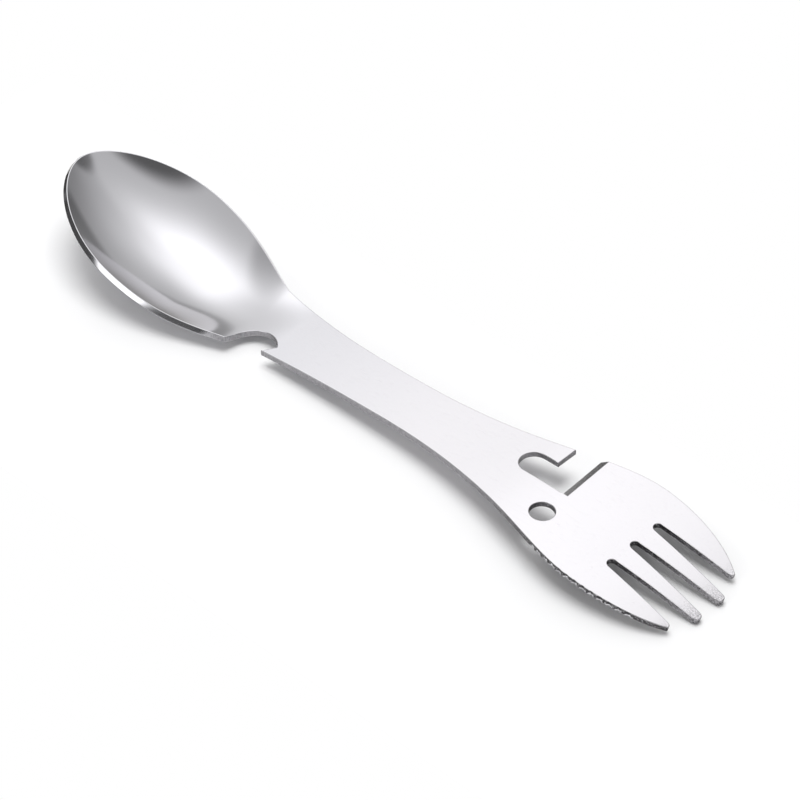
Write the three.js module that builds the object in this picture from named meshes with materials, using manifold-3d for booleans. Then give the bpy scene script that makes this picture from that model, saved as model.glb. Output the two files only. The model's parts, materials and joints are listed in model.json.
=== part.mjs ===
// Cutlery multi-tool: a spoon bowl and a four-tined fork at the two ends of one flat handle.
// The whole tool is one stainless sheet: its outline is blanked, its cut-outs are pierced, and the bowl,
// the neck and the fork are pressed. Millimetres, +Z up, the tool lying on a table with its bowl open upwards.
// It is drawn with the bowl's tip at x = 0 and the handle's top face at z = 0, then laid down to rest.
import * as THREE from "three";
import { mergeVertices } from "three/addons/utils/BufferGeometryUtils.js";
import Module from "manifold-3d";

// Sheet
const sheetThickness = 1.5;

// Outline, from the bowl's tip to the tines' tips
const bowlLength = 58.5;
const bowlWidth = 38.2;
const bowlWidestFromTip = 28.7;
const neckHalfWidth = 11.5;
const hookSideHalfWidth = 9.3;
const neckToWaist = 47.5;
const waistWidth = 15.4;
const waistToFork = 66.6;
const forkWidth = 36;
const forkToTips = 27.4;
const outerTipSetback = 2.8;
const outerTipWidth = 1;

// Slopes of the outline where two of its curves meet, as run per unit of length
const bowlBackSlope = 0.38;
const neckSlope = 0.15;
const hookSideSlope = 0.06;
const outerTineSlope = 0.76;

// Shares of a stretch of the outline over which its start and its end keep their directions
const bowlTipFullness = 0.45;
const bowlFrontPull = 0.465;
const bowlBackPulls = [0.42, 0.35];
const neckPulls = [0.4, 0.51];
const handlePulls = [0.57, 0.225];
const forkPulls = [0.47, 0.173];

// Pressed shape: the bowl's rim rises from the neck, the fork bends down towards its tips
const bowlTilt = THREE.MathUtils.degToRad(19.3);
const neckBendRadius = 87;
const neckBendPastNeck = 11;
const forkBendRadius = 172;
const forkBendBeforeFork = 28.6;
const dishDepth = 7.2;
const dishDeepestFromTip = 29;
const dishRunoutPastNeck = 11;

// Tines: three slots of one pattern, each with a round root and flared flanks
const tineSlotCount = 3;
const tineSlotPitch = 7.9;
const tineSlotRootRadius = 1.25;
const tineSlotFlare = THREE.MathUtils.degToRad(4);
const tineLength = 22;
const tineTipRounding = 1.3;

// Bottle opener: a round notch at the neck whose handle side ends in a hook
const notchRadius = 6;
const notchPastNeck = 7.5;
const notchOffset = 8.7;
const notchLipPastNeck = 0.8;
const hookTipPastNeck = 10.4;
const hookRootAngle = THREE.MathUtils.degToRad(34);

// Can opener: a slot under a prong, open to the side, with a ground edge on its fork side
const openerEdgeBeforeFork = 16.9;
const openerEdgeLean = THREE.MathUtils.degToRad(3);
const openerSlotReach = 14.7;
const openerSlotWidth = 7;
const openerMouthWidth = 6.9;
const openerFloorOffset = 0;
const openerBevelWidth = 2;
const openerEdgeLand = 0.25;

// Hanging hole
const holeDiameter = 6;
const holeBeforeFork = 15.8;
const holeOffset = 7.5;

// Serrated edge along the fork's hook side: round hollows ground into the wall, deepest below its middle
const scallopCount = 13;
const scallopPitch = 2.28;
const scallopRadius = 1.3;
const scallopDepth = 0.42;
const scallopBelowTop = 0.9;
const serrationBeforeFork = 10.7;

// Facets
const bowlSteps = 14;
const sideSteps = 9;
const columns = 16;
const roundSegments = 10;
const scallopSegments = 14;
const tipStart = 0.06;

const neckX = bowlLength;
const waistX = neckX + neckToWaist;
const forkX = waistX + waistToFork;
const tipsX = forkX + forkToTips;
const outerTipsX = tipsX - outerTipSetback;
const slotRootX = tipsX - tineLength;
const lastSlotOffset = ((tineSlotCount - 1) / 2) * tineSlotPitch;
const outerTipHalfSpan = lastSlotOffset + halfSlot(outerTipsX) + outerTipWidth;
const reach = bowlWidth + forkWidth;

// Half the width of a slot between tines at x.
function halfSlot(x) {
  return tineSlotRootRadius / Math.cos(tineSlotFlare) + (x - slotRootX) * Math.tan(tineSlotFlare);
}

const wasm = await Module();
wasm.setup();

// A closed geometry as a solid that can be cut.
function solidOf(geometry) {
  const bare = geometry.clone();
  bare.deleteAttribute("normal");
  bare.deleteAttribute("uv");
  const merged = mergeVertices(bare);
  return new wasm.Manifold(
    new wasm.Mesh({
      numProp: 3,
      vertProperties: new Float32Array(merged.attributes.position.array),
      triVerts: new Uint32Array(merged.index.array),
    }),
  );
}

// A cut solid as a geometry.
function geometryOf(solid) {
  const mesh = solid.getMesh();
  const geometry = new THREE.BufferGeometry();
  geometry.setAttribute("position", new THREE.BufferAttribute(mesh.vertProperties, 3));
  geometry.setIndex(new THREE.BufferAttribute(mesh.triVerts, 1));
  return geometry;
}

// One stretch of the outline, from (x0, w0) to (x1, w1), leaving and arriving at the given slopes.
function sideCurve(x0, w0, slope0, x1, w1, slope1, [pull0, pull1]) {
  const run = x1 - x0;
  return new THREE.CubicBezierCurve(
    new THREE.Vector2(x0, w0),
    new THREE.Vector2(x0 + pull0 * run, w0 + slope0 * pull0 * run),
    new THREE.Vector2(x1 - pull1 * run, w1 - slope1 * pull1 * run),
    new THREE.Vector2(x1, w1),
  );
}

const bowlHalf = bowlWidth / 2;
const waistHalf = waistWidth / 2;
const forkHalf = forkWidth / 2;
const bowlFront = new THREE.CubicBezierCurve(
  new THREE.Vector2(0, 0),
  new THREE.Vector2(0, bowlTipFullness * bowlHalf),
  new THREE.Vector2(bowlFrontPull * bowlWidestFromTip, bowlHalf),
  new THREE.Vector2(bowlWidestFromTip, bowlHalf),
);
const bowlBack = sideCurve(bowlWidestFromTip, bowlHalf, 0, neckX, neckHalfWidth, -bowlBackSlope, bowlBackPulls);
const neckSide = sideCurve(neckX, neckHalfWidth, -neckSlope, waistX, waistHalf, 0, neckPulls);
const hookSide = sideCurve(neckX, hookSideHalfWidth, -hookSideSlope, waistX, waistHalf, 0, neckPulls);
const handleSide = sideCurve(waistX, waistHalf, 0, forkX, forkHalf, 0, handlePulls);
const forkSide = sideCurve(forkX, forkHalf, 0, outerTipsX, outerTipHalfSpan, -outerTineSlope, forkPulls);

// Stations along the tool: x, and the half-width on the prong's side (+Y) and on the hook's side (-Y).
const stations = [];
function addStations(farCurve, nearCurve, steps, from) {
  for (let step = stations.length ? 1 : 0; step <= steps; step++) {
    const t = from + ((1 - from) * step) / steps;
    const far = farCurve.getPoint(t);
    const near = nearCurve.getPoint(t);
    stations.push({ x: far.x, far: far.y, near: near.y });
  }
}
addStations(bowlFront, bowlFront, bowlSteps, tipStart);
addStations(bowlBack, bowlBack, bowlSteps, 0);
addStations(neckSide, hookSide, sideSteps, 0);
addStations(handleSide, handleSide, sideSteps, 0);
addStations(forkSide, forkSide, sideSteps, 0);
stations.push({ x: tipsX + tineTipRounding, far: outerTipHalfSpan, near: outerTipHalfSpan });

// The hook side's half-width at x, along the straight facets between stations.
function nearHalfWidth(x) {
  const next = stations.findIndex((station) => station.x >= x);
  const a = stations[next - 1];
  const b = stations[next];
  return THREE.MathUtils.mapLinear(x, a.x, b.x, a.near, b.near);
}

// Height of the flat blank after bending: an arc and a straight rise at the bowl, an arc down at the fork.
function bentHeight(x) {
  const intoBowl = neckX + neckBendPastNeck - x;
  const intoFork = x - (forkX - forkBendBeforeFork);
  if (intoBowl > 0) {
    const onArc = Math.min(intoBowl, neckBendRadius * Math.sin(bowlTilt));
    const arcRise = neckBendRadius - Math.sqrt(neckBendRadius ** 2 - onArc ** 2);
    return arcRise + (intoBowl - onArc) * Math.tan(bowlTilt);
  }
  if (intoFork > 0) return Math.sqrt(forkBendRadius ** 2 - intoFork ** 2) - forkBendRadius;
  return 0;
}

// Depth of the dish below the bowl's rim: full at its deepest point, running out into the neck.
function dishAt(x, share) {
  const runout = neckX + dishRunoutPastNeck;
  if (x >= runout) return 0;
  const along =
    x < dishDeepestFromTip
      ? 1 - (1 - x / dishDeepestFromTip) ** 2
      : (1 - ((x - dishDeepestFromTip) / (runout - dishDeepestFromTip)) ** 2) ** 2;
  return dishDepth * along * (1 - share ** 2);
}

// The pressed sheet without its cut-outs: a grid of stations and columns for the top face, the same grid
// one sheet thickness below it along its normals, and a wall round the edge.
function pressedSheet() {
  const across = columns + 1;
  const top = [];
  for (const { x, far, near } of stations) {
    for (let column = 0; column <= columns; column++) {
      const y = THREE.MathUtils.lerp(-near, far, column / columns);
      top.push(x, y, bentHeight(x) - dishAt(x, Math.min(1, Math.abs(y) / far)));
    }
  }
  const faces = [];
  for (let row = 0; row + 1 < stations.length; row++) {
    for (let column = 0; column < columns; column++) {
      const a = row * across + column;
      const b = a + across;
      faces.push([a, b, b + 1], [a, b + 1, a + 1]);
    }
  }
  const face = new THREE.BufferGeometry();
  face.setAttribute("position", new THREE.Float32BufferAttribute(top, 3));
  face.setIndex(faces.flat());
  face.computeVertexNormals();

  const count = stations.length * across;
  const normal = new THREE.Vector3();
  const bottom = [];
  for (let i = 0; i < count; i++) {
    normal.fromBufferAttribute(face.attributes.normal, i).multiplyScalar(sheetThickness);
    bottom.push(top[3 * i] - normal.x, top[3 * i + 1] - normal.y, top[3 * i + 2] - normal.z);
  }
  const edge = [];
  for (let column = 0; column < columns; column++) edge.push(column);
  for (let row = 0; row + 1 < stations.length; row++) edge.push(row * across + columns);
  for (let column = columns; column > 0; column--) edge.push(count - across + column);
  for (let row = stations.length - 1; row > 0; row--) edge.push(row * across);
  const index = faces.flat();
  for (const [a, b, c] of faces) index.push(count + a, count + c, count + b);
  edge.forEach((a, i) => {
    const b = edge[(i + 1) % edge.length];
    index.push(a, b, count + b, a, count + b, count + a);
  });
  const sheet = new THREE.BufferGeometry();
  sheet.setAttribute("position", new THREE.Float32BufferAttribute([...top, ...bottom], 3));
  sheet.setIndex(index);
  return solidOf(sheet);
}

// A cutter that pierces the sheet straight down along the outline of a shape.
function punch(shape) {
  const geometry = new THREE.ExtrudeGeometry(shape, {
    depth: reach,
    bevelEnabled: false,
    curveSegments: roundSegments,
  });
  return solidOf(geometry.translate(0, 0, -reach / 2));
}

// Everything between and beyond the tines: three flared slots, and a round tip on each of four tines.
function tineCutter() {
  const shape = new THREE.Shape();
  const outerX = outerTipsX - tineTipRounding;
  const innerX = tipsX - tineTipRounding;
  const tip = (startX, startY, tipX, endY) => {
    shape.lineTo(startX, startY);
    shape.quadraticCurveTo(tipX, startY, tipX, (startY + endY) / 2);
    shape.quadraticCurveTo(tipX, endY, startX, endY);
  };
  const outerEdge = nearHalfWidth(outerX);
  shape.moveTo(tipsX + reach, -reach);
  shape.lineTo(outerX, -reach);
  tip(outerX, -outerEdge, outerTipsX, -lastSlotOffset - halfSlot(outerX));
  for (let slot = 0; slot < tineSlotCount; slot++) {
    const y = slot * tineSlotPitch - lastSlotOffset;
    const rootAngle = Math.PI / 2 + tineSlotFlare;
    shape.absarc(slotRootX, y, tineSlotRootRadius, -rootAngle, rootAngle, true);
    const last = slot === tineSlotCount - 1;
    if (!last) tip(innerX, y + halfSlot(innerX), tipsX, y + tineSlotPitch - halfSlot(innerX));
    else tip(outerX, y + halfSlot(outerX), outerTipsX, outerEdge);
  }
  shape.lineTo(outerX, reach);
  shape.lineTo(tipsX + reach, reach);
  return punch(shape);
}

// The bottle opener's notch: an arc from the bowl's lip round to the hook, then the hook's slanted face.
function notchCutter() {
  const centreX = neckX + notchPastNeck;
  const hookTipX = neckX + hookTipPastNeck;
  const shape = new THREE.Shape();
  shape.moveTo(neckX + notchLipPastNeck, -reach);
  shape.lineTo(neckX + notchLipPastNeck, -neckHalfWidth);
  shape.absarc(centreX, -notchOffset, notchRadius, Math.PI, hookRootAngle, true);
  shape.lineTo(hookTipX, -nearHalfWidth(hookTipX));
  shape.lineTo(hookTipX, -reach);
  return punch(shape);
}

// The can opener's opening: a slot with a round end under the prong, and a mouth out to the side.
function openerCutter() {
  const edgeX = forkX - openerEdgeBeforeFork;
  const mouthX = edgeX - openerMouthWidth;
  const slotRadius = openerSlotWidth / 2;
  const roundX = edgeX - openerSlotReach + slotRadius;
  const floor = openerFloorOffset;
  const shape = new THREE.Shape();
  shape.moveTo(edgeX, floor);
  shape.lineTo(edgeX - reach * Math.tan(openerEdgeLean), floor + reach);
  shape.lineTo(mouthX, floor + reach);
  shape.lineTo(mouthX, floor + openerSlotWidth);
  shape.absarc(roundX, floor + slotRadius, slotRadius, Math.PI / 2, (3 * Math.PI) / 2, false);
  return punch(shape);
}

// The ground bevel behind the can opener's edge: it leaves a narrow land at the sheet's underside.
function openerBevelCutter() {
  const edgeX = forkX - openerEdgeBeforeFork;
  const low = bentHeight(edgeX) - sheetThickness + openerEdgeLand;
  const high = bentHeight(edgeX + openerBevelWidth);
  const section = new THREE.Shape();
  section.moveTo(-openerBevelWidth, low - (high - low));
  section.lineTo(2 * openerBevelWidth, high + (high - low));
  section.lineTo(-openerBevelWidth, high + (high - low));
  const geometry = new THREE.ExtrudeGeometry(section, { depth: reach, bevelEnabled: false });
  geometry.rotateX(Math.PI / 2).translate(0, reach, 0).rotateZ(openerEdgeLean);
  return solidOf(geometry.translate(edgeX, openerFloorOffset, 0));
}

// The hanging hole.
function holeCutter() {
  const shape = new THREE.Shape();
  shape.absarc(forkX - holeBeforeFork, -holeOffset, holeDiameter / 2, 0, 2 * Math.PI);
  return punch(shape);
}

// One scallop of the serrated edge, a ball-shaped hollow square to the edge.
function scallopCutter(number) {
  const x = forkX - serrationBeforeFork + number * scallopPitch;
  const half = scallopPitch / 2;
  const edge = new THREE.Vector2(2 * half, nearHalfWidth(x - half) - nearHalfWidth(x + half)).normalize();
  const out = scallopRadius - scallopDepth;
  const ball = new THREE.SphereGeometry(scallopRadius, scallopSegments, scallopSegments / 2);
  const centreX = x + edge.y * out;
  const centreY = -nearHalfWidth(x) - edge.x * out;
  return solidOf(ball.translate(centreX, centreY, bentHeight(x) - scallopBelowTop));
}

let tool = pressedSheet();
const cutters = [tineCutter(), notchCutter(), openerCutter(), openerBevelCutter(), holeCutter()];
for (let number = 0; number < scallopCount; number++) cutters.push(scallopCutter(number));
for (const cutter of cutters) tool = tool.subtract(cutter);

const toolBody = new THREE.Mesh(
  geometryOf(tool),
  new THREE.MeshStandardMaterial({ color: 0xd4d4d8, roughness: 0.3, metalness: 1 }),
);
toolBody.name = "tool_body";

// Laying it down: it turns about Y until the lowest point of the bowl and that of the tines are level.
const corner = new THREE.Vector3();
const settlingSteps = 8;
for (let step = 0; step < settlingSteps; step++) {
  toolBody.updateMatrix();
  const bowlLow = new THREE.Vector3(0, 0, Infinity);
  const tineLow = new THREE.Vector3(0, 0, Infinity);
  const position = toolBody.geometry.attributes.position;
  for (let i = 0; i < position.count; i++) {
    const side = position.getX(i) < waistX ? bowlLow : tineLow;
    corner.fromBufferAttribute(position, i).applyMatrix4(toolBody.matrix);
    if (corner.z < side.z) side.copy(corner);
  }
  toolBody.rotation.y += Math.atan2(tineLow.z - bowlLow.z, tineLow.x - bowlLow.x);
}
toolBody.updateMatrix();
const box = new THREE.Box3().setFromObject(toolBody, true);
const middle = box.getCenter(new THREE.Vector3());
toolBody.position.set(-middle.x, -middle.y, -box.min.z);

const group = new THREE.Group();
group.add(toolBody);
export default group;
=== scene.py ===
import json
import math
from bisect import bisect_left

import bmesh
import bpy
from mathutils import Matrix, Quaternion, Vector
from mathutils.geometry import interpolate_bezier


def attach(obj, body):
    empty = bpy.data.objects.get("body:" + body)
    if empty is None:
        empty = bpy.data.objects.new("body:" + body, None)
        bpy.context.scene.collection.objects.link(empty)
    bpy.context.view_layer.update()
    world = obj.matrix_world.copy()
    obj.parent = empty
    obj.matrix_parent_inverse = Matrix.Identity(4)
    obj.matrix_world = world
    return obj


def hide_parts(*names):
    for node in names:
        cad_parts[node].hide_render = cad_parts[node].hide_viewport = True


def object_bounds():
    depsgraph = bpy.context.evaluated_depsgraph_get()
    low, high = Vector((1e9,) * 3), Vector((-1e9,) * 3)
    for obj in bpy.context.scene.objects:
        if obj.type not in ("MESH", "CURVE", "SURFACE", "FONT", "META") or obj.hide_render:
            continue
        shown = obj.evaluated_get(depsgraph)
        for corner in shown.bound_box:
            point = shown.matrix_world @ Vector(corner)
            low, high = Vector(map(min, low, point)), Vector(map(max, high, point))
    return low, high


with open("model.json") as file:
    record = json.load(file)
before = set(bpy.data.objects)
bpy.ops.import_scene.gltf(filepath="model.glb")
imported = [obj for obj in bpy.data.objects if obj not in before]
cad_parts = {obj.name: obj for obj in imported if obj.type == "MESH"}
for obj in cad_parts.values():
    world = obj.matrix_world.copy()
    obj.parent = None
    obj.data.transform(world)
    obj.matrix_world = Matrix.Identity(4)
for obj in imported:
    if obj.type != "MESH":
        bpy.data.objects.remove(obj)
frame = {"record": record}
cadBox = [list(corner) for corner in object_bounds()]
scene = bpy.context.scene
scene.view_settings.view_transform = "Standard"
print("frame loaded")

mm = 0.001
black = (0, 0, 0, 1)
white = (1, 1, 1, 1)

# the sheet before it is pressed: x from the bowl's tip to the tines, y across, top face at z 0, millimetres
blank = {
    "thickness": 1.5,
    "edgeRound": 0.16,
    "edgeRoundSegments": 3,
    "wallInset": 0.144,  # the sheared wall starts this far from either face
    "faceUpright": 0.9,  # a normal more upright than this is a face of the sheet
    "levelTolerance": 1e-5,
    "bowlLength": 58.5,
    "bowlWidth": 38.2,
    "widestFromTip": 28.7,
    "neckHalf": 11.5,
    "hookSideHalf": 9.3,
    "neckToWaist": 47.5,
    "waistWidth": 15.4,
    "waistToFork": 66.6,
    "forkWidth": 36.0,
    "forkToTips": 27.4,
    "outerTipSetback": 2.8,
    "outerTipWidth": 1.0,
    "bowlBackSlope": 0.38,
    "neckSlope": 0.15,
    "hookSideSlope": 0.06,
    "outerTineSlope": 0.76,
    "tipFullness": 0.45,
    "bowlFrontPull": 0.465,
    "bowlBackPulls": (0.42, 0.35),
    "neckPulls": (0.4, 0.51),
    "handlePulls": (0.57, 0.225),
    "forkPulls": (0.47, 0.173),
    "curveSteps": 48,
}

cutOuts = {
    "slotCount": 3,
    "slotPitch": 7.9,
    "slotRootRadius": 1.25,
    "slotFlare": math.radians(4),
    "tineLength": 22.0,
    "tipRounding": 1.3,
    "notchRadius": 6.0,
    "notchPastNeck": 7.5,
    "notchOffset": 8.7,
    "lipPastNeck": 0.8,
    "hookTipPastNeck": 10.4,
    "hookRootAngle": math.radians(34),
    "openerEdgeBeforeFork": 16.9,
    "openerEdgeLean": math.radians(3),
    "openerReach": 14.7,
    "openerSlotWidth": 7.0,
    "openerMouthWidth": 6.9,
    "holeDiameter": 6.0,
    "holeBeforeFork": 15.8,
    "holeOffset": 7.5,
    "holeSegments": 64,
    "arcSteps": 16,
    "above": 2.0,
    "through": 6.0,
    "outside": 60.0,
    "weld": 0.002,
}

grinding = {
    "openerBevelWidth": 2.0,
    "openerLand": 0.25,
    "scallopCount": 13,
    "scallopPitch": 2.28,
    "scallopRadius": 1.3,
    "scallopDepth": 0.42,
    "scallopBelowTop": 0.9,
    "beforeFork": 10.7,
    "glintBelowTop": 1.1,
    "ballSegments": 32,
    "hollowSlack": 0.02,
    "slack": 0.01,
}

pressing = {
    "bowlTilt": math.radians(19.3),
    "neckBendRadius": 87.0,
    "neckBendPastNeck": 11.0,
    "forkBendRadius": 172.0,
    "forkBendBeforeFork": 28.6,
    "dishDepth": 7.2,
    "dishDeepestFromTip": 29.0,
    "dishRunoutPastNeck": 11.0,
    "bowlCell": 0.8,
    "handleCell": 6.0,
    "forkCell": 2.0,
    "sliceSnap": 0.004,
    "slack": 0.01,
    "probe": 0.01,
    "tipClear": 0.02,
    "creaseAngle": math.radians(33),
}

neckX = blank["bowlLength"]
waistX = neckX + blank["neckToWaist"]
forkX = waistX + blank["waistToFork"]
tipsX = forkX + blank["forkToTips"]
outerTipsX = tipsX - blank["outerTipSetback"]
slotRootX = tipsX - cutOuts["tineLength"]
lastSlotY = (cutOuts["slotCount"] - 1) / 2 * cutOuts["slotPitch"]
openerX = forkX - cutOuts["openerEdgeBeforeFork"]


def halfSlot(x):
    flare = cutOuts["slotFlare"]
    return cutOuts["slotRootRadius"] / math.cos(flare) + (x - slotRootX) * math.tan(flare)


def sideCurve(start, startSlope, end, endSlope, pulls):
    run = end[0] - start[0]
    startHandle = Vector(start) + Vector((1, startSlope)) * pulls[0] * run
    endHandle = Vector(end) - Vector((1, endSlope)) * pulls[1] * run
    return interpolate_bezier(Vector(start), startHandle, endHandle, Vector(end), blank["curveSteps"])


# one corner pulls the curve, so each of its two handles lies two thirds of the way there
def quickCurve(start, corner, end, steps):
    startHandle = Vector(start).lerp(Vector(corner), 2 / 3)
    endHandle = Vector(end).lerp(Vector(corner), 2 / 3)
    return interpolate_bezier(Vector(start), startHandle, endHandle, Vector(end), steps)


def arc(centre, radius, fromAngle, toAngle):
    steps = cutOuts["arcSteps"]
    angles = [fromAngle + (toAngle - fromAngle) * step / steps for step in range(steps + 1)]
    return [Vector((centre[0] + radius * math.cos(a), centre[1] + radius * math.sin(a))) for a in angles]


# half-widths along the sheet: the far side carries the can opener, the near side the hook and the teeth
bowlHalf = blank["bowlWidth"] / 2
widest = blank["widestFromTip"]
outerHalf = lastSlotY + halfSlot(outerTipsX) + blank["outerTipWidth"]
bowlFront = interpolate_bezier(
    Vector((0, 0)),
    Vector((0, blank["tipFullness"] * bowlHalf)),
    Vector((blank["bowlFrontPull"] * widest, bowlHalf)),
    Vector((widest, bowlHalf)),
    blank["curveSteps"],
)
neckPoint = (neckX, blank["neckHalf"])
waistPoint = (waistX, blank["waistWidth"] / 2)
forkPoint = (forkX, blank["forkWidth"] / 2)
bowlBack = sideCurve((widest, bowlHalf), 0, neckPoint, -blank["bowlBackSlope"], blank["bowlBackPulls"])
neckSide = sideCurve(neckPoint, -blank["neckSlope"], waistPoint, 0, blank["neckPulls"])
hookPoint = (neckX, blank["hookSideHalf"])
hookSide = sideCurve(hookPoint, -blank["hookSideSlope"], waistPoint, 0, blank["neckPulls"])
handleSide = sideCurve(waistPoint, 0, forkPoint, 0, blank["handlePulls"])
forkSide = sideCurve(forkPoint, 0, (outerTipsX, outerHalf), -blank["outerTineSlope"], blank["forkPulls"])
pastTips = [Vector((tipsX + cutOuts["tipRounding"], outerHalf))]
hookKept = [point for point in hookSide if point.x > neckX + cutOuts["notchPastNeck"]]
tail = handleSide[1:] + forkSide[1:] + pastTips
farSide = bowlFront + bowlBack[1:] + neckSide[1:] + tail
nearSide = bowlFront + bowlBack[1:] + hookKept + tail


def widthAt(x, side):
    place = min(max(bisect_left(side, x, key=lambda point: point.x), 1), len(side) - 1)
    before = side[place - 1]
    after = side[place]
    return before.y + (after.y - before.y) * (x - before.x) / (after.x - before.x)


def prism(corners, along):
    bm = bmesh.new()
    face = bm.faces.new([bm.verts.new(corner) for corner in corners])
    grown = bmesh.ops.extrude_face_region(bm, geom=[face])["geom"]
    moved = [item for item in grown if isinstance(item, bmesh.types.BMVert)]
    bmesh.ops.translate(bm, verts=moved, vec=along)
    bmesh.ops.recalc_face_normals(bm, faces=bm.faces)
    return bm


def punch(outline):
    return prism([(x, y, cutOuts["above"]) for x, y in outline], (0, 0, -cutOuts["through"]))


def meshOf(name, bm):
    mesh = bpy.data.meshes.new(name)
    bm.to_mesh(mesh)
    bm.free()
    return mesh


# takes the cutters out of a body and hands back the new body
def cut(bm, cutters):
    joined = bmesh.new()
    for cutter in cutters:
        joined.from_mesh(meshOf("cutter", cutter))
    body = bpy.data.objects.new("body", meshOf("body", bm))
    tool = bpy.data.objects.new("tool", meshOf("tool", joined))
    for item in (body, tool):
        scene.collection.objects.link(item)
    boolean = body.modifiers.new("cut", "BOOLEAN")
    boolean.operation = "DIFFERENCE"
    boolean.solver = "EXACT"
    boolean.use_self = True
    boolean.object = tool
    result = bmesh.new()
    result.from_object(body, bpy.context.evaluated_depsgraph_get())
    for item in (body, tool):
        bpy.data.objects.remove(item)
    bmesh.ops.remove_doubles(result, verts=result.verts, dist=cutOuts["weld"])
    return result


def tinePunch():
    rounding = cutOuts["tipRounding"]
    outside = cutOuts["outside"]
    outerX = outerTipsX - rounding
    innerX = tipsX - rounding
    outerEdge = widthAt(outerX, nearSide)
    rootAngle = math.pi / 2 + cutOuts["slotFlare"]
    outline = [Vector((tipsX + outside, -outside)), Vector((outerX, -outside))]

    def tineTip(baseX, tipX, fromY, toY):
        middle = (fromY + toY) / 2
        first = quickCurve((baseX, fromY), (tipX, fromY), (tipX, middle), cutOuts["arcSteps"] // 2)
        second = quickCurve((tipX, middle), (tipX, toY), (baseX, toY), cutOuts["arcSteps"] // 2)
        return first + second[1:]

    outline += tineTip(outerX, outerTipsX, -outerEdge, -lastSlotY - halfSlot(outerX))
    for slot in range(cutOuts["slotCount"]):
        y = slot * cutOuts["slotPitch"] - lastSlotY
        outline += arc((slotRootX, y), cutOuts["slotRootRadius"], -rootAngle, rootAngle - 2 * math.pi)
        if slot < cutOuts["slotCount"] - 1:
            nextY = y + cutOuts["slotPitch"]
            outline += tineTip(innerX, tipsX, y + halfSlot(innerX), nextY - halfSlot(innerX))
        else:
            outline += tineTip(outerX, outerTipsX, y + halfSlot(outerX), outerEdge)
    outline += [Vector((outerX, outside)), Vector((tipsX + outside, outside))]
    return punch(outline)


def notchPunch():
    lipX = neckX + cutOuts["lipPastNeck"]
    hookX = neckX + cutOuts["hookTipPastNeck"]
    outside = cutOuts["outside"]
    centre = (neckX + cutOuts["notchPastNeck"], -cutOuts["notchOffset"])
    outline = [Vector((lipX, -outside)), Vector((lipX, -blank["neckHalf"]))]
    outline += arc(centre, cutOuts["notchRadius"], math.pi, cutOuts["hookRootAngle"])
    outline += [Vector((hookX, -widthAt(hookX, nearSide))), Vector((hookX, -outside))]
    return punch(outline)


def openerPunch():
    radius = cutOuts["openerSlotWidth"] / 2
    outside = cutOuts["outside"]
    mouthX = openerX - cutOuts["openerMouthWidth"]
    roundX = openerX - cutOuts["openerReach"] + radius
    outline = [Vector((openerX, 0))]
    outline += [Vector((openerX - outside * math.tan(cutOuts["openerEdgeLean"]), outside))]
    outline += [Vector((mouthX, outside)), Vector((mouthX, 2 * radius))]
    outline += arc((roundX, radius), radius, math.pi / 2, math.pi * 1.5)
    return punch(outline)


def holePunch():
    bm = bmesh.new()
    radius = cutOuts["holeDiameter"] / 2
    centre = Matrix.Translation((forkX - cutOuts["holeBeforeFork"], -cutOuts["holeOffset"], 0))
    bmesh.ops.create_cone(
        bm,
        cap_ends=True,
        segments=cutOuts["holeSegments"],
        radius1=radius,
        radius2=radius,
        depth=cutOuts["through"],
        matrix=centre,
    )
    return bm


# the wedge that is ground off behind the can opener's edge, down to a narrow land
def openerGrind():
    width = grinding["openerBevelWidth"]
    low = grinding["openerLand"] - blank["thickness"]
    slope = -low / width
    corners = [(-width, 0, low - slope * width), (2 * width, 0, slope * width), (-width, 0, slope * width)]
    bm = prism(corners, (0, cutOuts["outside"], 0))
    lean = Matrix.Rotation(cutOuts["openerEdgeLean"], 4, "Z")
    bmesh.ops.transform(bm, matrix=Matrix.Translation((openerX, 0, 0)) @ lean, verts=bm.verts)
    return bm


def onOpenerBevel(point):
    local = Matrix.Rotation(-cutOuts["openerEdgeLean"], 3, "Z") @ (point - Vector((openerX, 0, 0)))
    low = grinding["openerLand"] - blank["thickness"]
    height = low * (1 - local.x / grinding["openerBevelWidth"])
    slack = grinding["slack"]
    return local.x > -slack and local.y > -slack and abs(local.z - height) < slack


def scallopCentres():
    half = grinding["scallopPitch"] / 2
    out = grinding["scallopRadius"] - grinding["scallopDepth"]
    centres = []
    for number in range(grinding["scallopCount"]):
        x = forkX - grinding["beforeFork"] + number * grinding["scallopPitch"]
        before = widthAt(x - half, nearSide)
        after = widthAt(x + half, nearSide)
        outward = Vector((before - after, -2 * half)).normalized() * out
        y = outward.y - widthAt(x, nearSide)
        centres.append(Vector((x + outward.x, y, -grinding["scallopBelowTop"])))
    return centres


def scallopGrinds():
    segments = grinding["ballSegments"]
    radius = grinding["scallopRadius"]
    bm = bmesh.new()
    for centre in scallopCentres():
        bmesh.ops.create_uvsphere(
            bm,
            u_segments=segments,
            v_segments=segments // 2,
            radius=radius,
            matrix=Matrix.Translation(centre),
        )
    return bm


# rounds the arrises that blanking and tumbling leave along every edge of the sheet
def roundEdges(bm):
    edges = []
    for edge in bm.edges:
        if len(edge.link_faces) == 2:
            flat = [abs(face.normal.z) > blank["faceUpright"] for face in edge.link_faces]
            if flat[0] != flat[1]:
                edges.append(edge)
    bmesh.ops.bevel(
        bm,
        geom=edges,
        offset=blank["edgeRound"],
        offset_type="OFFSET",
        segments=blank["edgeRoundSegments"],
        profile=0.5,
        affect="EDGES",
        material=-1,
        clamp_overlap=False,
        loop_slide=True,
    )


def isCap(face):
    heights = [vert.co.z for vert in face.verts]
    level = max(heights) - min(heights) < blank["levelTolerance"]
    return level and min(abs(heights[0]), abs(heights[0] + blank["thickness"])) < blank["levelTolerance"]


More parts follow.
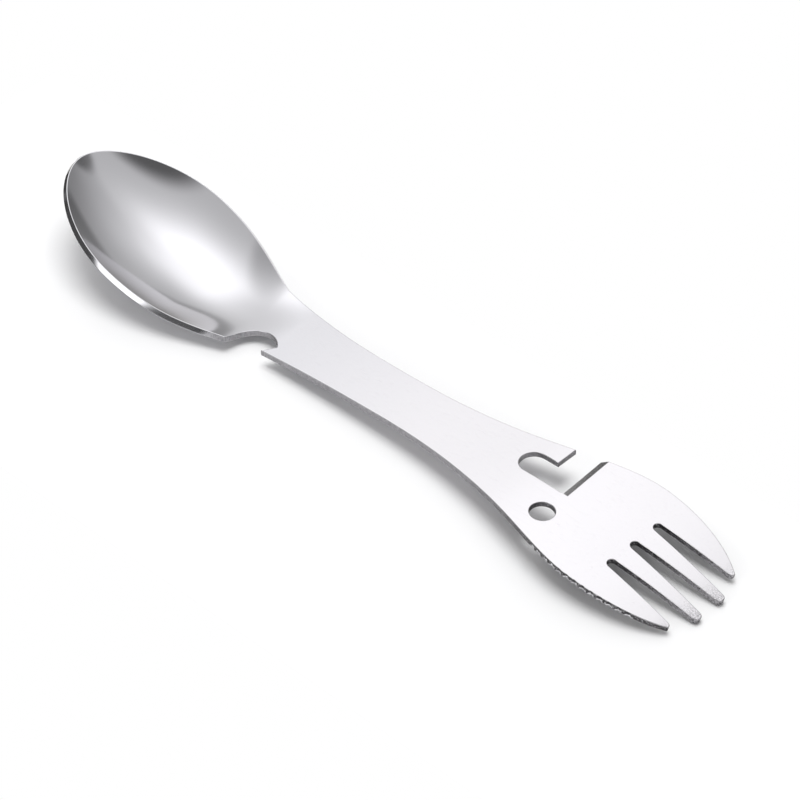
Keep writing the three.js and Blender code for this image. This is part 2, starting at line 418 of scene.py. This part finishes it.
def inBowl(face):
    reach = neckX + pressing["neckBendPastNeck"] + pressing["slack"]
    return isCap(face) and all(vert.co.x < reach for vert in face.verts)


def anyFace(face):
    return True


def sliceAt(bm, axis, place, wanted):
    faces = [face for face in bm.faces if wanted(face)]
    edges = {edge for face in faces for edge in face.edges}
    verts = {vert for face in faces for vert in face.verts}
    along = Vector((1, 0, 0)) if axis == "x" else Vector((0, 1, 0))
    bmesh.ops.bisect_plane(
        bm,
        geom=faces + list(edges) + list(verts),
        dist=pressing["sliceSnap"],
        plane_co=along * place,
        plane_no=along,
    )


def steps(low, high, cell):
    count = max(1, round((high - low) / cell))
    return [low + (high - low) * step / count for step in range(1, count)]


# enough rows and columns for the press to bend the sheet smoothly
def addRows(bm):
    pressEnd = neckX + pressing["neckBendPastNeck"]
    forkBend = forkX - pressing["forkBendBeforeFork"]
    for x in steps(0, pressEnd, pressing["bowlCell"]) + [pressEnd]:
        sliceAt(bm, "x", x, isCap)
    for x in steps(pressEnd, forkBend, pressing["handleCell"]) + [forkBend]:
        sliceAt(bm, "x", x, anyFace)
    for x in steps(forkBend, tipsX, pressing["forkCell"]):
        sliceAt(bm, "x", x, anyFace)
    for y in steps(-bowlHalf, bowlHalf, pressing["bowlCell"]):
        sliceAt(bm, "y", y, inBowl)


def bentHeight(x):
    radius = pressing["neckBendRadius"]
    tilt = pressing["bowlTilt"]
    intoBowl = neckX + pressing["neckBendPastNeck"] - x
    intoFork = x - (forkX - pressing["forkBendBeforeFork"])
    if intoBowl > 0:
        onArc = min(intoBowl, radius * math.sin(tilt))
        return radius - math.sqrt(radius ** 2 - onArc ** 2) + (intoBowl - onArc) * math.tan(tilt)
    if intoFork > 0:
        return math.sqrt(pressing["forkBendRadius"] ** 2 - intoFork ** 2) - pressing["forkBendRadius"]
    return 0.0


def topHeight(x, y):
    deepest = pressing["dishDeepestFromTip"]
    runout = neckX + pressing["dishRunoutPastNeck"]
    if x >= runout:
        return bentHeight(x)
    share = y / widthAt(x, farSide)
    if x < deepest:
        along = 1 - (1 - x / deepest) ** 2
    else:
        along = (1 - ((x - deepest) / (runout - deepest)) ** 2) ** 2
    return bentHeight(x) - pressing["dishDepth"] * along * (1 - share ** 2)


def pressedPoint(point):
    x = max(point.x, pressing["tipClear"])
    y = point.y
    probe = pressing["probe"]
    slopeX = (topHeight(x + probe, y) - topHeight(x - probe, y)) / (2 * probe)
    slopeY = (topHeight(x, y + probe) - topHeight(x, y - probe)) / (2 * probe)
    normal = Vector((-slopeX, -slopeY, 1)).normalized()
    return Vector((x, y, topHeight(x, y))) + normal * point.z


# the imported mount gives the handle's face as the tool lies at rest: its waist and its upward normal
def restPlace():
    mount = frame["record"]["mounts"][0]
    upward = Vector(mount["axis"]).normalized()
    across = Vector((0, 1, 0))
    lengthwise = across.cross(upward)
    turn = Matrix((lengthwise, across, upward)).transposed().to_4x4()
    toMetres = Matrix.Scale(mm, 4)
    return Matrix.Translation(mount["pos_m"]) @ turn @ toMetres @ Matrix.Translation((-waistX, 0, 0))


# marks what the material needs while the sheet is still flat: sheared walls, the low part of the ground
# hollows where a glint is painted, and the underside, which takes painted shade below the fork
def markWallsAndPaintedLightMasks(bm):
    wall = bm.verts.layers.float.new("wall")
    ground = bm.verts.layers.float.new("ground")
    under = bm.verts.layers.float.new("under")
    inset = blank["wallInset"]
    bottom = -blank["thickness"]
    touched = grinding["scallopRadius"] + grinding["hollowSlack"]
    centres = scallopCentres()
    for vert in bm.verts:
        sheared = bottom + inset < vert.co.z < -inset and not onOpenerBevel(vert.co)
        hollow = any((vert.co - centre).length < touched for centre in centres)
        vert[wall] = 1.0 if sheared else 0.0
        # the ground mask marks where a glint is painted, and the under mask where the underside takes
        # painted shade below the fork
        vert[ground] = 1.0 if hollow and vert.co.z < -grinding["glintBelowTop"] else 0.0
        vert[under] = 1.0 if vert.co.z < bottom + grinding["slack"] else 0.0


# lays the pressed sheet on the table, in the middle of the solid's box
def layDown(bm):
    bmesh.ops.transform(bm, matrix=restPlace(), verts=bm.verts)
    ends = [vert.co.x for vert in bm.verts]
    fit = (cadBox[1][0] - cadBox[0][0]) / (max(ends) - min(ends))  # the finer facets are a hair longer
    bmesh.ops.transform(bm, matrix=Matrix.Scale(min(fit, 1), 4, (1, 0, 0)), verts=bm.verts)
    ends = [vert.co.x for vert in bm.verts]
    slide = (cadBox[0][0] + cadBox[1][0] - min(ends) - max(ends)) / 2
    drop = cadBox[0][2] - min(vert.co.z for vert in bm.verts)
    bmesh.ops.translate(bm, verts=bm.verts, vec=(slide, 0, drop))


def makeTool():
    nearPoints = [Vector((point.x, -point.y)) for point in nearSide]
    outline = nearPoints + list(reversed(farSide[1:]))
    bm = prism([(x, y, 0) for x, y in outline], (0, 0, -blank["thickness"]))
    bm = cut(bm, [tinePunch(), notchPunch(), openerPunch(), holePunch()])
    print("blanked and pierced", len(bm.faces))
    roundEdges(bm)
    bm = cut(bm, [openerGrind(), scallopGrinds()])
    print("ground", len(bm.faces))
    addRows(bm)
    markWallsAndPaintedLightMasks(bm)
    arrises = {edge for edge in bm.edges if sum(isCap(face) for face in edge.link_faces) == 1}
    for vert in bm.verts:
        vert.co = pressedPoint(vert.co)
    layDown(bm)
    for face in bm.faces:
        face.smooth = True
    for edge in bm.edges:
        if len(edge.link_faces) == 2:
            edge.smooth = edge not in arrises and edge.calc_face_angle() < pressing["creaseAngle"]
    print("pressed", len(bm.faces), "open edges", sum(not edge.is_manifold for edge in bm.edges))
    tool = bpy.data.objects.new("multiToolBody", meshOf("multiToolBody", bm))
    scene.collection.objects.link(tool)
    weighted = tool.modifiers.new("weighted", "WEIGHTED_NORMAL")
    weighted.mode = "FACE_AREA"
    weighted.keep_sharp = True
    return tool


# wraps a node's output so that shader maths reads as plain expressions
class Link:
    def __init__(self, tree, socket=None):
        self.tree = tree
        self.socket = socket

    def node(self, kind, settings, inputs, output=0):
        made = self.tree.nodes.new(kind)
        for name, value in settings.items():
            setattr(made, name, value)
        for key, value in inputs.items():
            if isinstance(value, Link):
                self.tree.links.new(value.socket, made.inputs[key])
            else:
                made.inputs[key].default_value = value
        return Link(self.tree, made.outputs[output] if made.outputs else None)

    def math(self, operation, first, second=0.0):
        return self.node("ShaderNodeMath", {"operation": operation}, {0: first, 1: second})

    def __add__(self, other):
        return self.math("ADD", self, other)

    def __radd__(self, other):
        return self.math("ADD", other, self)

    def __sub__(self, other):
        return self.math("SUBTRACT", self, other)

    def __rsub__(self, other):
        return self.math("SUBTRACT", other, self)

    def __mul__(self, other):
        return self.math("MULTIPLY", self, other)

    def __pow__(self, other):
        return self.math("POWER", self, other)

    # 0 below low, 1 above high, eased between
    def ramp(self, low, high):
        names = {"interpolation_type": "SMOOTHSTEP"}
        return self.node("ShaderNodeMapRange", names, {"Value": self, "From Min": low, "From Max": high})

    # noise swings about a half, so this is what it adds or takes away
    def swing(self, amount):
        return (self - 0.5) * amount

    def axis(self, name):
        return self.node("ShaderNodeSeparateXYZ", {}, {0: self}, name)

    def blend(self, first, second):
        return self.node("ShaderNodeMix", {"data_type": "FLOAT"}, {0: self, 2: first, 3: second})

    def tint(self, first, second):
        return self.node("ShaderNodeMix", {"data_type": "RGBA"}, {0: self, 6: first, 7: second}, 2)


def freshMaterial(name):
    material = bpy.data.materials.new(name)
    material.use_nodes = True
    material.node_tree.nodes.clear()
    return material, Link(material.node_tree)


# places are metres from the tool's middle, and each Shows pair is the noise levels where a mark fades in
steel = {
    # the satin's own tone, painted darker toward the neck and lighter toward the fork: painted shade and
    # painted sheen standing in for how the studio reflects along the handle
    "satinNeckPaintedShade": (0.735, 0.73, 0.764, 1),
    "satinForkPaintedSheen": (0.82, 0.805, 0.833, 1),
    "satinPaintedShadeToSheen": (-0.038, 0.025),
    "satinDull": 0.06,
    "polished": (0.753, 0.748, 0.779, 1),
    "handleWallLight": (0.45, 0.44, 0.46, 1),
    "handleWallDark": (0.30, 0.295, 0.31, 1),
    # the fork's walls are painted dark, painted shade where they mirror the shadowed floor, with light
    # specks of painted sparkle
    "forkWallPaintedSparkleColour": (0.6, 0.59, 0.61, 1),
    "forkWallPaintedShadeColour": (0.08, 0.078, 0.082, 1),
    # a painted glint: light colour in the low part of each ground hollow
    "paintedGlintColour": (0.80, 0.80, 0.81, 1),
    # the fork's underside is painted darker: painted shade, so that less light bounces into the floor's
    # shadow under the fork
    "underPaintedShadeColour": (0.4, 0.395, 0.41, 1),
    "underPaintedShadeAlong": (0.03, 0.06),
    "grazingTint": (0.45, 0.445, 0.40, 1),
    "bowlRoughness": 0.09,
    "satinRoughness": 0.24,
    "wallRoughness": 0.5,
    "groundRoughness": 0.2,
    "rimRoughness": 0.12,
    "polishEnds": -0.026,
    "polishFull": -0.046,
    "rimPolishEnds": -0.0405,
    "rimPolishFull": -0.0465,
    # where along the tool the walls turn to the fork's painted shade
    "wallPaintedShadeAlong": (0.03, 0.074),
    # the tine tips take darker specks: painted shade for the tips' greyer look
    "tipPaintedShadeColour": (0.42, 0.41, 0.43, 1),
    "tipPaintedShadeAlong": (0.094, 0.102),
    # the inner tines' walls are painted lighter near the tips, a painted reflection of the lit floor there
    "tipWallPaintedReflectionColour": (0.44, 0.43, 0.45, 1),
    "tipWallPaintedReflectionAlong": (0.078, 0.096),
    "tipWallPaintedReflectionFrom": (-0.0105, -0.008),
    "grain": {"stretch": (0.02, 1, 1), "size": 9000, "detail": 2},
    "hairlines": {"stretch": (0.012, 1, 1), "size": 7000, "detail": 0},
    "clouds": {"stretch": (1, 1, 1), "size": 45, "detail": 3},
    "shear": {"stretch": (1, 1, 0.3), "size": 2600, "detail": 3},
    "specks": {"stretch": (1, 1, 0.7), "size": 3600, "detail": 1},
    "hairlineShows": (0.70, 0.76),
    "glintShows": (0.53, 0.63),
    "tipPaintedShadeShows": (0.35, 0.65),
    "tipWallPaintedReflectionShows": (0.3, 0.6),
    "handleWallShows": (0.35, 0.65),
    "forkWallPaintedSparkleShows": (0.55, 0.7),
    "satinGrain": 0.05,
    "satinHairline": 0.04,
    "satinClouds": 0.04,
    "bowlClouds": 0.03,
    "bowlHairline": 0.03,
    "wallShear": 0.3,
    "wornHairline": 0.5,
    "wornClouds": 0.4,
    "shearHeight": 2,
    "bumpStrength": 0.06,
    "bumpDistance": 0.00002,
}


def makeSteel():
    material, start = freshMaterial("stainlessSheet")
    place = start.node("ShaderNodeTexCoord", {}, {}, "Object")
    lengthwise = place.axis("X")
    across = place.axis("Y")

    def attribute(name):
        return start.node("ShaderNodeAttribute", {"attribute_name": name}, {}, "Fac")

    def noise(name):
        spec = steel[name]
        stretched = start.node("ShaderNodeMapping", {}, {"Vector": place, "Scale": spec["stretch"]})
        inputs = {"Vector": stretched, "Scale": spec["size"], "Detail": spec["detail"]}
        return start.node("ShaderNodeTexNoise", {}, inputs)

    def polishFrom(ends, full):
        return (lengthwise * -1).ramp(-steel[ends], -steel[full])

    wall = attribute("wall")
    polish = wall.blend(polishFrom("polishEnds", "polishFull"), polishFrom("rimPolishEnds", "rimPolishFull"))
    grain = noise("grain")
    hairline = noise("hairlines").ramp(*steel["hairlineShows"])
    clouds = noise("clouds")
    shear = noise("shear")
    specks = noise("specks")
    # painted glint in the low part of the ground hollows, broken up by specks
    glint = attribute("ground") * specks.ramp(*steel["glintShows"])

    # roughness of the faces, the sheared walls and the ground hollows
    satin = steel["satinRoughness"] + grain.swing(steel["satinGrain"])
    satin = satin + hairline * steel["satinHairline"] + clouds.swing(steel["satinClouds"])
    mirror = steel["bowlRoughness"] + clouds.swing(steel["bowlClouds"]) + hairline * steel["bowlHairline"]
    torn = steel["wallRoughness"] + shear.swing(steel["wallShear"])
    sheared = glint.blend(torn, steel["groundRoughness"])
    roughness = wall.blend(polish.blend(satin, mirror), polish.blend(sheared, steel["rimRoughness"]))

    # colour of the faces: the steel's own tone with random worn marks, painted shade toward the neck and
    # painted sheen toward the fork, darker specks of painted shade at the tine tips, and painted shade on
    # the underside below the fork
    worn = hairline * steel["wornHairline"] + clouds.swing(steel["wornClouds"])
    # painted shade toward the neck and painted sheen toward the fork, laid over the steel's own tone
    satinWithPaintedShade = lengthwise.ramp(*steel["satinPaintedShadeToSheen"]).tint(steel["satinNeckPaintedShade"], steel["satinForkPaintedSheen"])
    # darker specks at the tine tips are painted shade
    tipPaintedShade = lengthwise.ramp(*steel["tipPaintedShadeAlong"]) * specks.ramp(*steel["tipPaintedShadeShows"])
    face = tipPaintedShade.tint((worn * steel["satinDull"]).tint(satinWithPaintedShade, black), steel["tipPaintedShadeColour"])
    # painted shade: the underside below the fork is darkened so that the shadow beneath it on the floor
    # comes out deeper
    underPaintedShade = attribute("under") * lengthwise.ramp(*steel["underPaintedShadeAlong"])
    face = underPaintedShade.tint(face, steel["underPaintedShadeColour"])

    # colour of the sheared walls: random shear marks on the handle, painted shade toward the fork with
    # specks of painted sparkle, a painted glint in the hollows, and a painted reflection lightening the
    # inner tines' walls at their tips
    handleMarks = shear.ramp(*steel["handleWallShows"])
    handleWall = handleMarks.tint(steel["handleWallDark"], steel["handleWallLight"])
    # painted shade on the fork's walls, broken by specks of painted sparkle
    forkPaintedSparkle = specks.ramp(*steel["forkWallPaintedSparkleShows"])
    forkWallWithPaintedShade = forkPaintedSparkle.tint(steel["forkWallPaintedShadeColour"], steel["forkWallPaintedSparkleColour"])
    wallWithPaintedLight = lengthwise.ramp(*steel["wallPaintedShadeAlong"]).tint(handleWall, forkWallWithPaintedShade)
    # painted reflection: the inner tines' walls lighter in specks toward their tips
    tipWallPaintedReflection = lengthwise.ramp(*steel["tipWallPaintedReflectionAlong"]) * across.ramp(*steel["tipWallPaintedReflectionFrom"])
    wallWithPaintedLight = (tipWallPaintedReflection * specks.ramp(*steel["tipWallPaintedReflectionShows"])).tint(wallWithPaintedLight, steel["tipWallPaintedReflectionColour"])
    edge = glint.tint(wallWithPaintedLight, steel["paintedGlintColour"])
    colour = polish.tint(wall.tint(face, edge), steel["polished"])

    height = (grain * (1 - wall) + shear * wall * steel["shearHeight"]) * (1 - polish)
    bump = start.node(
        "ShaderNodeBump",
        {},
        {"Strength": steel["bumpStrength"], "Distance": steel["bumpDistance"], "Height": height},
    )
    shader = start.node(
        "ShaderNodeBsdfPrincipled",
        {},
        {
            "Base Color": colour,
            "Metallic": 1.0,
            "Roughness": roughness,
            "Specular Tint": steel["grazingTint"],
            "Normal": bump,
        },
    )
    start.node("ShaderNodeOutputMaterial", {}, {"Surface": shader})
    return material


tool = makeTool()
tool.data.materials.append(makeSteel())
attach(tool, "root")
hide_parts("tool_body")
print("tool dressed")

# the photograph's view, in millimetres, the clipping distance in metres
photo = {
    "azimuth": math.radians(43.14),
    "elevation": math.radians(41.56),
    "roll": math.radians(0.26),
    "distance": 900.0,
    "target": (2.30, 4.69, 0.0),
    "focalPixels": 3840.8,
    "imagePixels": 800,
    "sensor": 36.0,
    "clipEnd": 20,
}


def makeCamera():
    turn = photo["azimuth"]
    lift = photo["elevation"]
    towards = Vector((-math.sin(turn) * math.cos(lift), math.cos(turn) * math.cos(lift), -math.sin(lift)))
    data = bpy.data.cameras.new("camera")
    data.sensor_width = photo["sensor"]
    data.lens = photo["focalPixels"] * photo["sensor"] / photo["imagePixels"]
    data.clip_end = photo["clipEnd"]
    camera = bpy.data.objects.new("camera", data)
    camera.location = (Vector(photo["target"]) - towards * photo["distance"]) * mm
    aim = towards.to_track_quat("-Z", "Y") @ Quaternion((0, 0, 1), photo["roll"])
    camera.rotation_euler = aim.to_euler()
    scene.collection.objects.link(camera)
    scene.camera = camera


makeCamera()

# a pale card under the tool, in metres
floor = {
    "halfLength": 0.15,
    "nearReach": 0.075,
    "farReach": 0.036,
    "colour": (0.9, 0.9, 0.905, 1),
    "lift": 0.015,
    "edgeLift": 0.12,
    "edgeFade": 0.02,
}


def makeFloor():
    bm = bmesh.new()
    half = floor["halfLength"]
    near = -floor["nearReach"]
    far = floor["farReach"]
    corners = [(-half, near, 0), (half, near, 0), (half, far, 0), (-half, far, 0)]
    bm.faces.new([bm.verts.new(corner) for corner in corners])
    table = bpy.data.objects.new("floor", meshOf("floor", bm))
    scene.collection.objects.link(table)
    material, start = freshMaterial("paleFloor")
    matt = start.node("ShaderNodeBsdfDiffuse", {}, {"Color": floor["colour"]})
    kinds = ("Is Camera Ray", "Is Glossy Ray", "Is Transmission Ray")
    seen, shiny, clear = [start.node("ShaderNodeLightPath", {}, {}, kind) for kind in kinds]
    direct = start.math("MAXIMUM", start.math("MAXIMUM", seen, shiny), clear)
    place = start.node("ShaderNodeTexCoord", {}, {}, "Object")
    across = place.axis("Y")
    fade = floor["edgeFade"]
    rim = across.ramp(far - fade, far) + (across * -1).ramp(-near - fade, -near)
    rim = rim + start.math("ABSOLUTE", place.axis("X")).ramp(half - fade, half)
    level = direct * (floor["lift"] + rim * floor["edgeLift"])
    glow = start.node("ShaderNodeEmission", {}, {"Color": level.tint(black, white), "Strength": 1.0})
    both = start.node("ShaderNodeAddShader", {}, {0: matt, 1: glow})
    start.node("ShaderNodeOutputMaterial", {}, {"Surface": both})
    table.data.materials.append(material)


makeFloor()

# the studio round the tool, in the camera's compass: degrees from overhead, degrees right of straight away
studio = {
    "base": 0.563,
    "horizonAt": 0.02,
    "horizonWidth": 0.07,
    "horizonLevel": 0.6,
    "glows": (
        {"tilt": 12, "turn": -18, "level": 0.8, "power": 18},
        {"tilt": 37, "turn": -25, "level": 0.56, "power": 22},
        {"tilt": 42, "turn": -6, "level": 0.15, "power": 30},
        {"tilt": 48.2, "turn": 4.3, "level": 0.38, "power": 34},
        {"tilt": 35.6, "turn": 26.4, "level": 0.42, "power": 34},
        {"tilt": 19, "turn": 53.2, "level": 0.38, "power": 34},
        {"tilt": 66, "turn": -7.6, "level": 0.24, "power": 34},
        {"tilt": 66.8, "turn": 58.2, "level": 1.9, "power": 20},
    ),
    "darks": (
        {"tilt": 76.3, "turn": 173.6, "inner": 49.5, "outer": 58.8, "depth": 0.8},
        {"tilt": 61.5, "turn": 98, "inner": 23.9, "outer": 26.5, "depth": 0.68},
        {"tilt": 77.8, "turn": 67.8, "inner": 14, "outer": 46, "depth": 0.9},
        {"tilt": 80, "turn": -70, "inner": 45, "outer": 52.2, "depth": 0.3},
        {"tilt": 122, "turn": 63.7, "inner": 52.1, "outer": 56.6, "depth": 0.46},
        {"tilt": 92, "turn": -32, "inner": 18, "outer": 28, "depth": 0.8},
        {"tilt": 85, "turn": 165, "inner": 36, "outer": 46, "depth": 0.6},
        {"tilt": 88, "turn": -95, "inner": 32, "outer": 42, "depth": 0.8},
        {"tilt": 84, "turn": 8, "inner": 9, "outer": 17, "depth": 0.4},
    ),
    "panels": (
        {"tilt": 65, "turn": -124, "inner": 13, "outer": 19, "level": 1.6},
        {"tilt": 76, "turn": 170, "inner": 24, "outer": 40, "level": 0.38},
    ),
    "lampTilt": 3,
    "lampTurn": 0,
    "lampDistance": 1.2,
    "lampSize": 0.85,
    "lampPower": 8.25,
}


def compass(tilt, turn):
    heading = photo["azimuth"] - math.radians(turn)
    flat = math.sin(math.radians(tilt))
    return Vector((-math.sin(heading) * flat, math.cos(heading) * flat, math.cos(math.radians(tilt))))


def makeStudio():
    world = bpy.data.worlds.new("studio")
    world.use_nodes = True
    scene.world = world
    world.node_tree.nodes.clear()
    start = Link(world.node_tree)
    towards = start.node("ShaderNodeTexCoord", {}, {}, "Generated")

    def facing(tilt, turn):
        dot = {"operation": "DOT_PRODUCT"}
        return start.node("ShaderNodeVectorMath", dot, {0: towards, 1: compass(tilt, turn)}, "Value")

    def patch(spec):
        edge = [math.cos(math.radians(spec[name])) for name in ("outer", "inner")]
        return facing(spec["tilt"], spec["turn"]).ramp(*edge)

    aboveHorizon = towards.axis("Z") - studio["horizonAt"]
    offHorizon = start.math("ABSOLUTE", aboveHorizon).ramp(0, studio["horizonWidth"])
    light = offHorizon.blend(studio["horizonLevel"], 1.0) * studio["base"]
    for glow in studio["glows"]:
        lobe = start.math("MAXIMUM", facing(glow["tilt"], glow["turn"]), 0.0) ** glow["power"]
        light = light + lobe * glow["level"]
    for dark in studio["darks"]:
        light = light * (1 - patch(dark) * dark["depth"])
    for panel in studio["panels"]:
        light = light + patch(panel) * panel["level"]
    seen = start.node("ShaderNodeLightPath", {}, {}, "Is Camera Ray")
    strength = seen.blend(light, 1.0)
    sky = start.node("ShaderNodeBackground", {}, {"Color": white, "Strength": strength})
    start.node("ShaderNodeOutputWorld", {}, {"Surface": sky})


# the key light falls on the floor and casts the shadow, and the metal mirrors the studio alone
def makeLamp():
    data = bpy.data.lights.new("key", "AREA")
    data.shape = "DISK"
    data.size = studio["lampSize"]
    data.energy = studio["lampPower"]
    lamp = bpy.data.objects.new("key", data)
    direction = compass(studio["lampTilt"], studio["lampTurn"])
    lamp.location = direction * studio["lampDistance"]
    lamp.rotation_euler = direction.to_track_quat("Z", "Y").to_euler()
    lamp.visible_glossy = False
    scene.collection.objects.link(lamp)


makeStudio()
makeLamp()
print("studio lit")
